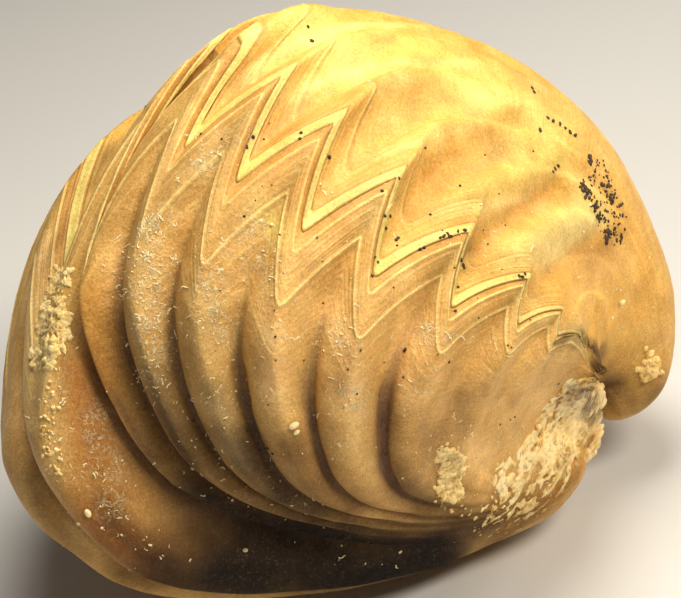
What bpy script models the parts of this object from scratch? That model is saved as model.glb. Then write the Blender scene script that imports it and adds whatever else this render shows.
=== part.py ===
"""Brachiopod fossil: a closed, globose, coarsely ribbed shell of the rhynchonellid kind.

The shell is described the way it grows.  The parting line between the two
valves is one zigzag curve round the shell.  Every older growth line is that
curve turned about the hinge axis and shrunk towards it, so a valve is the
sweep of its own margin back to the beak.

Shell frame: X across the shell, Y from the hinge to the front margin, Z
towards the brachial valve.  An empty turns the finished pieces from that
frame into the pose in which the loose shell lies still on a flat surface,
and sets the origin under the middle of the bounding box.
"""

import math

import bmesh
import bpy
import numpy as np
from mathutils import Vector

MM = 0.001

# ---- driving dimensions -------------------------------------------------
REACH = 20.5 * MM  # hinge axis to the front margin
WIDTH = 25.1 * MM  # across the flanks
HINGE_HALF = 5.2 * MM  # half the width of the hinge line
GAP = 0.3 * MM  # clear space between pieces that touch

FLANK_HARMONICS = (0.045, 0.049, 0.044)  # of the half-width along the margin
REACH_HARMONICS = (0.026, 0.011)  # of the distance from the hinge

# Places on the margin are a share of the way round it from the hinge (0) to
# the middle of the front (1).  At a groove of the brachial valve the parting
# line points to the pedicle valve, at a crest to the brachial valve.
GROOVES = (0.237, 0.303, 0.380, 0.476, 0.577, 0.667, 0.751, 0.822, 0.863, 1.0)
CRESTS = (0.251, 0.326, 0.420, 0.516, 0.602, 0.688, 0.767, 0.847, 0.941)
ZIGZAG_DEG = ((0.0, 7.1), (0.20, 7.1), (0.45, 9.9), (0.75, 7.7), (1.0, 7.7))
ZIGZAG_SLANT = 0.022  # how far a zigzag point leans along the margin
ZIGZAG_FADES = (8.0, 32.0, 0.95)  # growth turned back, from, to, share lost
MARGIN_RISE_DEG = (
    (0.0, -8.5), (0.12, -8.2), (0.25, 9.8), (0.40, 15.2), (0.55, 12.5),
    (0.70, 5.0), (0.85, -0.8), (1.0, -0.8),
)
FOLD_DEG, FOLD_FROM, FOLD_TO = 13.3, 0.835, 0.938  # tongue at the front

# Growth turned back about the hinge, in degrees, against size left there
BRACHIAL_SIZE = (
    (0, 1.0), (20, 1.032), (40, 0.908), (60, 0.600), (80, 0.401), (100, 0.288),
    (125, 0.222), (150, 0.172),
)
PEDICLE_SIZE = (
    (0, 1.0), (20, 0.897), (40, 0.734), (60, 0.592), (80, 0.458), (105, 0.331),
    (130, 0.229), (160, 0.156), (195, 0.103),
)
BRACHIAL_BREADTH = ((-1, 1.0), (0, 1.0), (60, 0.60), (120, 1.0), (200, 1.0))
PEDICLE_BREADTH = ((-1, 1.0), (0, 1.0), (60, 1.083), (120, 0.865), (200, 0.865))
BRACHIAL_DRIFT = (0.133, 0.090)  # how ribs drift along the margin with growth
PEDICLE_DRIFT = (0.062, 0.084)
BRACHIAL_UMBO = (0.1 * MM, 0.0)  # Y, Z of the umbo from the hinge axis
PEDICLE_UMBO = (-1.5 * MM, -2.15 * MM)
BRACHIAL_TURN = 150.0  # degrees swept by each valve from margin to beak
PEDICLE_TURN = 195.0
RIB_RELIEF = 0.022

PLUG_ARC = (1.75 * MM, 1.3 * MM)  # distance from the hinge axis, half its depth
PLUG_WEDGE_DEG = (177.0, 17.0)  # middle and half-angle of the space it fills
PLUG_HALF = 1.5 * MM  # along the hinge

REST_DEG = (125.298, -35.122, -56.908)  # XYZ Euler angles, shell frame to resting pose

INNER_ROW, INNER_FOLD = 0.55, 0.2  # of the margin's size and of its zigzag

STEPS_PER_SLOPE = 2  # rings between a groove and the next crest
SWEEP_ROWS = 20


def ease(a, b, x):
    t = np.clip((x - a) / (b - a), 0.0, 1.0)
    return t * t * (3 - 2 * t)


def curve(stations):
    """Monotone cubic curve through (place, value) stations."""
    x = np.array([s[0] for s in stations], float)
    y = np.array([s[1] for s in stations], float)
    h, d = np.diff(x), np.diff(y) / np.diff(x)
    slope = np.zeros(len(x))
    for k in range(1, len(x) - 1):
        if d[k - 1] * d[k] > 0:
            a, b = 2 * h[k] + h[k - 1], h[k] + 2 * h[k - 1]
            slope[k] = (a + b) / (a / d[k - 1] + b / d[k])
    for k, i, j in ((0, 0, 1), (len(x) - 1, -1, -2)):
        s = ((2 * h[i] + h[j]) * d[i] - h[i] * d[j]) / (h[i] + h[j])
        if s * d[i] <= 0:
            s = 0.0
        elif d[i] * d[j] <= 0 and abs(s) > 3 * abs(d[i]):
            s = 3 * d[i]
        slope[k] = s

    def value(q):
        q = np.clip(np.asarray(q, float), x[0], x[-1])
        k = np.clip(np.searchsorted(x, q, side="right") - 1, 0, len(x) - 2)
        t = (q - x[k]) / h[k]
        return (
            (1 + 2 * t) * (1 - t) ** 2 * y[k]
            + t * (1 - t) ** 2 * h[k] * slope[k]
            + t * t * (3 - 2 * t) * y[k + 1]
            + t * t * (t - 1) * h[k] * slope[k + 1]
        )

    return value


ZIGZAG = curve(ZIGZAG_DEG)
MARGIN_RISE = curve(MARGIN_RISE_DEG)
TURNS = sorted([(g, -1.0) for g in GROOVES] + [(c, 1.0) for c in CRESTS])
TURN_AT = np.array([0.0] + [t[0] for t in TURNS])
TURN_TO = np.array([0.0] + [t[1] for t in TURNS])


class Valve:
    def __init__(self, side, size, breadth, drift, umbo, turn):
        self.side = side  # +1 brachial, -1 pedicle
        self.size, self.breadth = curve(size), curve(breadth)
        self.drift, self.umbo, self.turn = drift, umbo, turn
        self.umbo_span = (40.0, 150.0) if side > 0 else (50.0, 180.0)

    def point(self, at, deg, scale=1.0, fold=1.0):
        """Outer surface on the +X flank: place on the margin, growth turned back."""
        rib = fold * np.interp(at, TURN_AT, TURN_TO)
        start, end, lost = ZIGZAG_FADES
        keep = 1 - ease(start, end, deg) * lost
        slant = ZIGZAG_SLANT * np.interp(
            at, (0, 0.2, 0.4, 0.8, 0.88, 1), (0.5, 0.7, 1, 1, 0.3, 0)
        )
        place = (
            at
            + ease(0, 90, deg)
            * (
                self.drift[0] * math.sin(math.pi * at)
                + self.drift[1] * math.sin(2 * math.pi * at)
            )
            + slant * rib * (keep - (1 - lost)) / lost
        )
        t = math.pi * place
        flank = (WIDTH / 2) * math.sin(t) * (
            1
            + FLANK_HARMONICS[0] * math.cos(t)
            + FLANK_HARMONICS[1] * math.cos(2 * t)
            + FLANK_HARMONICS[2] * math.cos(3 * t)
        )
        reach = (REACH / 2) * (1 - math.cos(t)) * (
            1
            + REACH_HARMONICS[0] * math.sin(t) ** 2
            + REACH_HARMONICS[1] * math.sin(t) ** 2 * math.cos(t)
        )
        angle = (
            float(MARGIN_RISE(place)) * (1 - ease(30, 120, deg))
            + FOLD_DEG * ease(FOLD_FROM, FOLD_TO, place) * (1 - ease(20, 120, deg))
            + float(ZIGZAG(at)) * keep * rib
            + self.side * deg
        )
        relief = 1 + RIB_RELIEF * (self.side * rib + 0.3) * ease(5, 35, deg) * ease(
            0, 0.12, at
        )
        size = float(self.size(deg)) * scale
        a = math.radians(angle)
        lean = ease(*self.umbo_span, deg) * ease(0, 0.25, at)
        return Vector(
            (
                HINGE_HALF * math.exp(-((at / 0.10) ** 2))
                + size * float(self.breadth(deg)) * relief * flank,
                size * relief * reach * math.cos(a) + lean * self.umbo[0],
                size * relief * reach * math.sin(a) + lean * self.umbo[1],
            )
        )


BRACHIAL = Valve(1, BRACHIAL_SIZE, BRACHIAL_BREADTH, BRACHIAL_DRIFT, BRACHIAL_UMBO, BRACHIAL_TURN)
PEDICLE = Valve(-1, PEDICLE_SIZE, PEDICLE_BREADTH, PEDICLE_DRIFT, PEDICLE_UMBO, PEDICLE_TURN)


def rings():
    """Places on the margin for one flank, hinge to front, with every rib point on a ring."""
    marks = [0.0] + [t[0] for t in TURNS]
    places = [0.0]
    for a, b in zip(marks, marks[1:]):
        places += [a + (b - a) * (k + 1) / STEPS_PER_SLOPE for k in range(STEPS_PER_SLOPE)]
    return places


def shaped_sphere(name, columns, shape, collection, material, places):
    """A UV sphere with its poles at the hinge ends, each vertex moved by shape(place, flank, column)."""
    n = len(places) - 1
    bm = bmesh.new()
    bmesh.ops.create_uvsphere(bm, u_segments=columns, v_segments=2 * n, radius=1.0)
    for vert in bm.verts:
        lat = math.acos(max(-1.0, min(1.0, vert.co.z)))
        ring = round(lat / math.pi * 2 * n)
        column = round((math.atan2(vert.co.y, vert.co.x) % (2 * math.pi)) / (2 * math.pi) * columns) % columns
        flank = 1.0 if ring <= n else -1.0
        place = places[ring] if ring <= n else places[2 * n - ring]
        vert.co = shape(place, flank, column)
    bmesh.ops.remove_doubles(bm, verts=bm.verts, dist=1e-7)
    bmesh.ops.dissolve_degenerate(bm, edges=bm.edges, dist=1e-8)
    bmesh.ops.triangulate(bm, faces=bm.faces, quad_method="FIXED")
    bmesh.ops.recalc_face_normals(bm, faces=bm.faces)
    mesh = bpy.data.meshes.new(name)
    bm.to_mesh(mesh)
    bm.free()
    mesh.shade_smooth()
    mesh.set_sharp_from_angle(angle=math.radians(35))
    mesh.materials.append(material)
    obj = bpy.data.objects.new(name, mesh)
    collection.objects.link(obj)
    return obj


def parting(valve, place, scale, fold):
    """The face where the valves meet, moved off it square by half the gap."""
    step = 0.004
    here = valve.point(place, 0.0, scale, fold)
    ahead = valve.point(min(place + step, 1.0), 0.0, scale, fold)
    behind = valve.point(max(place - step, 0.0), 0.0, scale, fold)
    along = (ahead - here).normalized() + (here - behind).normalized()
    if place == 1.0:  # the other flank mirrors this one across the middle
        along = Vector((-1, 0, 0))
    return here + here.cross(along).normalized() * (valve.side * GAP / 2)


def valve_shape(valve):
    tip_rows = 2
    columns = SWEEP_ROWS + 1 + tip_rows + 2
    shift = Vector((0, 0, valve.side * GAP / 2))

    def shape(place, flank, column):
        if place == 0.0:
            p = Vector((HINGE_HALF, 0, 0)) + shift
        elif column == columns - 2:  # the hinge axis, inside
            p = shift.copy()
        elif column == columns - 1:  # inside, where the zigzag has nearly gone
            p = parting(valve, place, INNER_ROW, INNER_FOLD)
        elif column == 0:
            p = parting(valve, place, 1.0, 1.0)
        elif column <= SWEEP_ROWS:
            deg = valve.turn * (column / SWEEP_ROWS) ** 1.15
            p = valve.point(place, deg)
        else:  # the rounded tip of the umbo
            k = (column - SWEEP_ROWS) / (tip_rows + 1)
            p = valve.point(place, valve.turn + 12 * k, math.sqrt(1 - k * k))
        return Vector((flank * p.x, p.y, p.z)) if place < 1.0 else Vector((0, p.y, p.z))

    return columns, shape


def plug_shape(columns):
    """Hardened sediment in the wedge between the beak and the brachial umbo."""

    def shape(place, flank, column):
        lat, lon = place * math.pi / 2, 2 * math.pi * column / columns
        lump = 1 + 0.10 * math.sin(3 * lon + 1.7 * flank) * math.sin(2 * lat)
        out = PLUG_ARC[0] + PLUG_ARC[1] * math.sin(lat) * math.cos(lon) * lump
        turn = math.radians(PLUG_WEDGE_DEG[0] + PLUG_WEDGE_DEG[1] * math.sin(lat) * math.sin(lon))
        return Vector((flank * PLUG_HALF * math.cos(lat) * lump, out * math.cos(turn), out * math.sin(turn)))

    return columns, shape


def principled(name, colour, roughness):
    material = bpy.data.materials.new(name)
    material.use_nodes = True
    node = material.node_tree.nodes["Principled BSDF"]
    node.inputs["Base Color"].default_value = (*colour, 1.0)
    node.inputs["Roughness"].default_value = roughness
    node.inputs["Metallic"].default_value = 0.0
    material.diffuse_color = (*colour, 1.0)
    return material


def main():
    for obj in list(bpy.data.objects):
        bpy.data.objects.remove(obj, do_unlink=True)
    collection = bpy.data.collections.new("brachiopod_fossil")
    bpy.context.scene.collection.children.link(collection)

    pieces = [
        shaped_sphere(
            "pedicle_valve", *valve_shape(PEDICLE), collection,
            principled("pedicle_shell", (0.62, 0.38, 0.13), 0.42), rings(),
        ),
        shaped_sphere(
            "brachial_valve", *valve_shape(BRACHIAL), collection,
            principled("brachial_shell", (0.40, 0.25, 0.13), 0.48), rings(),
        ),
        shaped_sphere(
            "matrix_plug", *plug_shape(16), collection,
            principled("pale_matrix", (0.72, 0.62, 0.44), 0.85),
            [k / 6 for k in range(7)],
        ),
    ]
    rest = bpy.data.objects.new("shell_frame", None)
    collection.objects.link(rest)
    rest.rotation_euler = tuple(math.radians(a) for a in REST_DEG)
    for obj in pieces:
        obj.parent = rest
    bpy.context.view_layer.update()
    corners = np.array([obj.matrix_world @ v.co for obj in pieces for v in obj.data.vertices])
    low, high = corners.min(axis=0), corners.max(axis=0)
    rest.location = (-(low[0] + high[0]) / 2, -(low[1] + high[1]) / 2, -low[2])


main()
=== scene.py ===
"""Brachiopod fossil: the visible shell, built by the same growth rule as the CAD solids at a much finer step."""

import math

import bmesh
import bpy
import numpy as np
from mathutils import Euler, Matrix, Vector
from mathutils.bvhtree import BVHTree


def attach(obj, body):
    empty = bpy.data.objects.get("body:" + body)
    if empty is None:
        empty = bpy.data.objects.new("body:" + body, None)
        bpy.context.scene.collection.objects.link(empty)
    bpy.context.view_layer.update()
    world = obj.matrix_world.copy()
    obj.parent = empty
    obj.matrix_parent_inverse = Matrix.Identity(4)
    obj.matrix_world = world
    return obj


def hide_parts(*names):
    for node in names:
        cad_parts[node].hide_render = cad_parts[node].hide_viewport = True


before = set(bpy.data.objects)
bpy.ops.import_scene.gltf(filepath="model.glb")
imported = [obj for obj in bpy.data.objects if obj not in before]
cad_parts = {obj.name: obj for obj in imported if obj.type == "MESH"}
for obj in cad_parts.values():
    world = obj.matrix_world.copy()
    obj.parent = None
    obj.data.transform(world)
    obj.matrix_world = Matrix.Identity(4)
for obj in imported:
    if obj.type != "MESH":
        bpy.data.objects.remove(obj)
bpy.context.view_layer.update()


MM = 0.001
DEG = math.pi / 180

# ---- the shell's growth rule, as in the CAD part (mm and degrees) ---------
REACH, WIDTH, HINGE_HALF = 20.5, 25.1, 5.2
FLANK_HARMONICS = (0.045, 0.049, 0.044)
REACH_HARMONICS = (0.026, 0.011)
GROOVES = (0.237, 0.303, 0.380, 0.476, 0.577, 0.667, 0.751, 0.822, 0.863, 1.0)
CRESTS = (0.251, 0.326, 0.420, 0.516, 0.602, 0.688, 0.767, 0.847, 0.941)
ZIGZAG_DEG = ((0.0, 7.1), (0.20, 7.1), (0.45, 9.9), (0.75, 7.7), (1.0, 7.7))
ZIGZAG_SLANT = 0.0286
ZIGZAG_FADES = (8.0, 32.0, 0.95)
MARGIN_RISE_DEG = ((0.0, -8.5), (0.12, -8.2), (0.25, 9.8), (0.40, 15.2), (0.55, 12.5), (0.70, 5.0), (0.85, -0.8), (1.0, -0.8))
FOLD_DEG, FOLD_FROM, FOLD_TO = 13.3, 0.835, 0.938
REST_DEG = (125.298, -35.122, -56.908)
REST_AT = (7.04197, 0.43589, 4.42244)
SHELL = Matrix.Translation(Vector(REST_AT)) @ Euler([a * DEG for a in REST_DEG], "XYZ").to_matrix().to_4x4()
SHELL_R = np.array(SHELL.to_3x3(), float)


def ease(a, b, x):
    t = np.clip((np.asarray(x, float) - a) / (b - a), 0.0, 1.0)
    return t * t * (3 - 2 * t)


def bell(x, width):
    return np.exp(-((np.asarray(x, float) / width) ** 2))


def curve(stations):
    """Monotone cubic curve through (place, value) stations."""
    x = np.array([s[0] for s in stations], float)
    y = np.array([s[1] for s in stations], float)
    h, d = np.diff(x), np.diff(y) / np.diff(x)
    slope = np.zeros(len(x))
    for k in range(1, len(x) - 1):
        if d[k - 1] * d[k] > 0:
            a, b = 2 * h[k] + h[k - 1], h[k] + 2 * h[k - 1]
            slope[k] = (a + b) / (a / d[k - 1] + b / d[k])
    for k, i, j in ((0, 0, 1), (len(x) - 1, -1, -2)):
        s = ((2 * h[i] + h[j]) * d[i] - h[i] * d[j]) / (h[i] + h[j])
        if s * d[i] <= 0:
            s = 0.0
        elif d[i] * d[j] <= 0 and abs(s) > 3 * abs(d[i]):
            s = 3 * d[i]
        slope[k] = s

    def value(q):
        q = np.clip(np.asarray(q, float), x[0], x[-1])
        k = np.clip(np.searchsorted(x, q, side="right") - 1, 0, len(x) - 2)
        t = (q - x[k]) / h[k]
        return (
            (1 + 2 * t) * (1 - t) ** 2 * y[k]
            + t * (1 - t) ** 2 * h[k] * slope[k]
            + t * t * (3 - 2 * t) * y[k + 1]
            + t * t * (t - 1) * h[k] * slope[k + 1]
        )

    return value


ZIGZAG = curve(ZIGZAG_DEG)
MARGIN_RISE = curve(MARGIN_RISE_DEG)
TURNS = sorted([(g, -1.0) for g in GROOVES] + [(c, 1.0) for c in CRESTS])
TURN_AT = np.array([0.0] + [t[0] for t in TURNS])
TURN_TO = np.array([0.0] + [t[1] for t in TURNS])


def wave(at):
    """-1 at a brachial groove, +1 at a crest, straight between."""
    return np.interp(at, TURN_AT, TURN_TO)


def rounded_wave(at, soft, soft_crest):
    """The same wave with its turns rounded over a share of each slope."""
    w = wave(at)
    u = (w + 1) / 2
    low = np.where(u < soft, u * u / (2 * soft) + soft / 2, u)
    v = 1 - low
    v = np.where(v < soft_crest, v * v / (2 * soft_crest) + soft_crest / 2, v)
    return np.where(np.asarray(at) < GROOVES[0], w, 1 - 2 * v)


class Valve:
    def __init__(self, name, side, size, breadth, drift, umbo, turn, umbo_span):
        self.name, self.side = name, side
        self.size, self.breadth = curve(size), curve(breadth)
        self.drift, self.umbo, self.turn, self.umbo_span = drift, umbo, turn, umbo_span

    def point(self, at, deg, scale=1.0, fold=1.0):
        """Outer surface on the +X flank, in mm in the shell frame: arrays in, (..., 3) out."""
        at, deg = np.broadcast_arrays(np.asarray(at, float), np.asarray(deg, float))
        start, end, lost = ZIGZAG_FADES
        keep = 1 - ease(start, end, deg) * lost
        if self.side > 0:
            soft, shear = 0.04 + 0.12 * ease(12, 30, deg), keep
        else:
            soft, shear = 0.04 + 0.26 * ease(3, 20, deg), 1 - ease(3.5, 21, deg) * lost
        rib = fold * rounded_wave(at, soft, 0.09 + 0.08 * ease(0, 20, deg) + (0.15 * ease(3, 20, deg) if self.side < 0 else 0))
        slant = ZIGZAG_SLANT * np.interp(at, (0, 0.2, 0.4, 0.8, 0.88, 1), (0.5, 0.7, 1, 1, 0.3, 0))
        place = (
            at
            + ease(0, 90, deg) * (self.drift[0] * np.sin(np.pi * at) + self.drift[1] * np.sin(2 * np.pi * at))
            + slant * rib * (shear - (1 - lost)) / lost
        )
        t = np.pi * place
        flank = (WIDTH / 2) * np.sin(t) * (
            1 + FLANK_HARMONICS[0] * np.cos(t) + FLANK_HARMONICS[1] * np.cos(2 * t) + FLANK_HARMONICS[2] * np.cos(3 * t)
        )
        reach = (REACH / 2) * (1 - np.cos(t)) * (
            1 + REACH_HARMONICS[0] * np.sin(t) ** 2 + REACH_HARMONICS[1] * np.sin(t) ** 2 * np.cos(t)
        )
        angle = (
            MARGIN_RISE(place) * (1 - ease(30, 120, deg))
            + FOLD_DEG * ease(FOLD_FROM, FOLD_TO, place) * (1 - ease(20, 120, deg))
            + ZIGZAG(at) * keep * rib
            + self.side * deg
        )
        relief = 1 + self.rib_relief(at, deg, fold)
        # above the seam the ribs are worn low: the size follows the place there and not the age
        worn = 0.35 * ease(3, 22, deg) * ZIGZAG(at) * keep * rib if self.side < 0 else 0.0
        size = self.size(deg - worn) * scale
        a = angle * DEG
        lean = ease(*self.umbo_span, deg) * ease(0, 0.25, at)
        return np.stack(
            [
                HINGE_HALF * np.exp(-((at / 0.10) ** 2)) + size * self.breadth(deg) * relief * flank,
                size * relief * reach * np.cos(a) + lean * self.umbo[0],
                size * relief * reach * np.sin(a) + lean * self.umbo[1],
            ],
            -1,
        )

    def rib_relief(self, at, deg, fold=1.0):
        """Ribs as a share of the size: rounded with narrow grooves below the seam, low and soft above it."""
        s = (self.side * wave(at) + 1) / 2  # 0 in this valve's groove, 1 on its crest
        if self.side > 0:
            rib = 0.024 * (1.05 - 2 * (1 - s) ** 1.9) * (1 - 0.97 * ease(44, 76, deg))
            rib = rib * (1 - 0.85 * ease(16, 34, deg) * (1 - ease(0.33, 0.46, at)))
        else:
            rib = 0.0095 * (0.05 - np.cos(np.pi * s)) * (1 - 0.7 * ease(40, 90, deg))
        return rib * fold * ease(5, 35, deg) * ease(0, 0.12, at)


BRACHIAL = Valve(
    "brachial_valve", 1,
    ((0, 1.0), (20, 1.032), (40, 0.908), (60, 0.600), (80, 0.401), (100, 0.288), (125, 0.222), (150, 0.172)),
    ((-1, 1.0), (0, 1.0), (60, 0.60), (120, 1.0), (200, 1.0)), (0.133, 0.090), (0.1, 0.0), 150.0, (40.0, 150.0),
)
PEDICLE = Valve(
    "pedicle_valve", -1,
    ((0, 1.0), (20, 0.897), (40, 0.734), (60, 0.592), (80, 0.458), (105, 0.331), (130, 0.229), (160, 0.156), (195, 0.103)),
    ((-1, 1.0), (0, 1.0), (60, 1.083), (120, 0.865), (200, 0.865)), (0.062, 0.084), (-1.5, -2.15), 195.0, (50.0, 180.0),
)

# ---- the camera, at the photograph's viewing angle ------------------------
PX_W, PX_H = 681, 598
FOCAL_PX = 2592.5
CAM_AT = np.array((6.67095, -88.21560, 58.73002))
CAM_AXES = np.array(((0.99267, 0.00922, -0.12051), (0.10104, 0.48383, 0.86931), (0.06632, -0.87511, 0.47935)))

camera_data = bpy.data.cameras.new("camera")
camera_data.sensor_width = 36.0
camera_data.sensor_fit = "HORIZONTAL"
camera_data.lens = 36.0 * FOCAL_PX / PX_W
camera_data.clip_start = 0.005
camera_data.clip_end = 50.0
camera = bpy.data.objects.new("camera", camera_data)
bpy.context.scene.collection.objects.link(camera)
pose = Matrix([list(r) for r in CAM_AXES.T]).to_4x4()
pose.translation = Vector(CAM_AT * MM)
camera.matrix_world = pose
bpy.context.scene.camera = camera


def ray(px, py):
    """World ray, in mm, through a place in the 681 x 598 frame."""
    d = CAM_AXES[0] * (px - PX_W / 2) / FOCAL_PX - CAM_AXES[1] * (py - PX_H / 2) / FOCAL_PX - CAM_AXES[2]
    return Vector(CAM_AT), Vector(d).normalized()


def to_world(p):
    """Shell frame to row frame, mm."""
    return p @ SHELL_R.T + np.array(REST_AT)


# ---- growth lines: degrees back from the margin, ridge height and half-width in mm
GROWTH_LINES = {
    1: ((0.9, -0.016, 0.035), (3.35, 0.040, 0.050), (4.3, -0.012, 0.04), (6.1, 0.010, 0.035), (8.2, 0.008, 0.03),
        (11.4, 0.040, 0.055), (12.6, -0.012, 0.05), (16.0, 0.012, 0.05), (21.0, 0.012, 0.06)),
    -1: ((0.5, 0.020, 0.04), (3.1, 0.018, 0.04), (3.7, -0.022, 0.04), (4.5, 0.016, 0.04), (6.6, 0.010, 0.04),
         (9.4, 0.012, 0.04), (10.6, 0.030, 0.05), (11.4, -0.018, 0.05), (14.5, 0.012, 0.05), (19.0, 0.010, 0.06)),
}


# ---- fine grids of the two valves ----------------------------------------
def flank_places():
    places = [0.0]
    marks = list(TURN_AT)
    for k, (a, b) in enumerate(zip(marks, marks[1:])):
        n = 26 if k == 0 else (7 if b - a < 0.03 else 13)
        for i in range(1, n + 1):
            t = i / n
            t = t + 0.35 * (0.5 - 0.5 * math.cos(math.pi * t) - t)
            places.append(a + (b - a) * t)
    return np.array(places)


def growth_steps(turn, lines):
    """Rows from the margin back to the umbo, close together at each growth line."""
    rows = [0.0]
    while rows[-1] < turn - 0.01:
        s = rows[-1]
        rows.append(s + (0.42 if s < 15 else 0.42 + min((s - 15) / 25, 1) * 1.25))
    rows = np.array(rows) * (turn / rows[-1])
    fine = [t + d for t in lines for d in (-0.24, -0.12, 0.0, 0.12, 0.24) if 0 < t + d]
    far = rows[[min(abs(r - f) for f in fine) > 0.15 for r in rows]]
    return np.array(sorted(set([0.0, turn] + list(far) + [round(f, 4) for f in fine])))


PLACES = flank_places()
N_HALF = len(PLACES)
AT_ALL = np.r_[PLACES, PLACES[-2::-1]]
FLANK = np.r_[np.ones(N_HALF), -np.ones(N_HALF - 1)]


def mirrored(p):
    p = p.copy()
    p[..., 0] *= FLANK[:, None] if p.ndim == 3 else FLANK
    p[np.isclose(AT_ALL, 1.0), ..., 0] = 0.0
    return p


def normals_of(p, side):
    du = np.gradient(p, axis=0)
    dv = np.gradient(p, axis=1)
    n = np.cross(du, dv) * side
    return n / np.maximum(np.linalg.norm(n, axis=-1, keepdims=True), 1e-9)


def hashed(ix, iy, iz, seed):
    h = (ix * 374761393 + iy * 668265263 + iz * 2147483647 + seed * 1274126177) & 0xFFFFFFFF
    h = ((h ^ (h >> 13)) * 1274126177) & 0xFFFFFFFF
    h = h ^ (h >> 16)
    return (h & 0xFFFF) / 32767.5 - 1.0


def lump_noise(p, size, seed=0):
    """Smooth value noise, -1 to 1, on (..., 3) points; size is the width of a lump in the points' unit."""
    q = np.asarray(p, float) / size + 100.0
    i = np.floor(q).astype(np.int64)
    f = q - i
    f = f * f * f * (f * (f * 6 - 15) + 10)
    out = 0.0
    for dx in (0, 1):
        wx = f[..., 0] if dx else 1 - f[..., 0]
        for dy in (0, 1):
            wy = f[..., 1] if dy else 1 - f[..., 1]
            for dz in (0, 1):
                wz = f[..., 2] if dz else 1 - f[..., 2]
                out = out + wx * wy * wz * hashed(i[..., 0] + dx, i[..., 1] + dy, i[..., 2] + dz, seed)
    return out


def fractal(p, size, seed=0, octaves=4, gain=0.5):
    out, amount, total = 0.0, 1.0, 0.0
    for k in range(octaves):
        out = out + amount * lump_noise(p, size / 2**k, seed + 17 * k)
        total += amount
        amount *= gain
    return out / total


def base_grid(valve):
    steps = growth_steps(valve.turn, [t[0] for t in GROWTH_LINES[valve.side]])
    at, deg = np.meshgrid(AT_ALL, steps, indexing="ij")
    p = mirrored(valve.point(at, deg))
    n = normals_of(p, valve.side)
    pv, pt = np.gradient(p, axis=0), np.gradient(p, axis=1) / np.gradient(steps)[None, :, None]
    # mm on the surface, square to the growth line, for each degree of growth
    per_deg = np.linalg.norm(np.cross(pv, pt), axis=-1) / np.maximum(np.linalg.norm(pv, axis=-1), 1e-6)
    return dict(valve=valve, at=at, deg=deg, n=n, per_deg=per_deg, steps=steps, p=p, w=to_world(p))


def surface_tree(parts):
    """For finding the place on the shell that the camera sees at a pixel (mm)."""
    points, faces, count = [], [], 0
    for g in parts:
        nu, nv = g["deg"].shape
        i, j = np.meshgrid(np.arange(nu - 1), np.arange(nv - 1), indexing="ij")
        a = count + i * nv + j
        points.append(g["w"].reshape(-1, 3))
        faces.append(np.stack([a, a + nv, a + nv + 1, a + 1], -1).reshape(-1, 4))
        count += nu * nv
    return BVHTree.FromPolygons(np.concatenate(points).tolist(), np.concatenate(faces).tolist())


def on_shell(px, py):
    """Place and outward normal, world mm, or None where the camera sees past the shell."""
    start, way = ray(px, py)
    at, normal, _, _ = TREE.ray_cast(start, way)
    if at is None:
        return None
    return np.array(at), np.array(normal) * (-1 if normal.dot(way) > 0 else 1)


def stroke(*marks):
    """Points about 3 px apart along a line drawn through pixels, laid on the shell."""
    marks = [np.array(m, float) for m in marks]
    if len(marks) == 1:
        found = on_shell(*marks[0])
        return np.array([found[0]]) if found else np.zeros((0, 3))
    out = []
    for a, b in zip(marks, marks[1:]):
        n = max(2, int(np.hypot(*(b - a)) / 3))
        for k in range(n + 1):
            found = on_shell(*(a + (b - a) * k / n))
            if found:
                out.append(found[0])
    return np.array(out).reshape(-1, 3)


def closeness(w, points, width):
    """Bell of the distance in mm from each (..., 3) place to the nearest stroke point."""
    out = np.zeros(w.shape[:-1])
    if not len(points):
        return out
    low, high = points.min(0) - 2.6 * width, points.max(0) + 2.6 * width
    near = np.all((w > low) & (w < high), axis=-1)
    q = w[near]
    if len(q):
        d2 = np.full(len(q), 1e9)
        for c in points:
            d2 = np.minimum(d2, ((q - c) ** 2).sum(-1))
        out[near] = np.exp(-d2 / width**2)
    return out


PX = 1 / 25.6  # mm on the shell for a pixel of the photograph's frame

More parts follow.
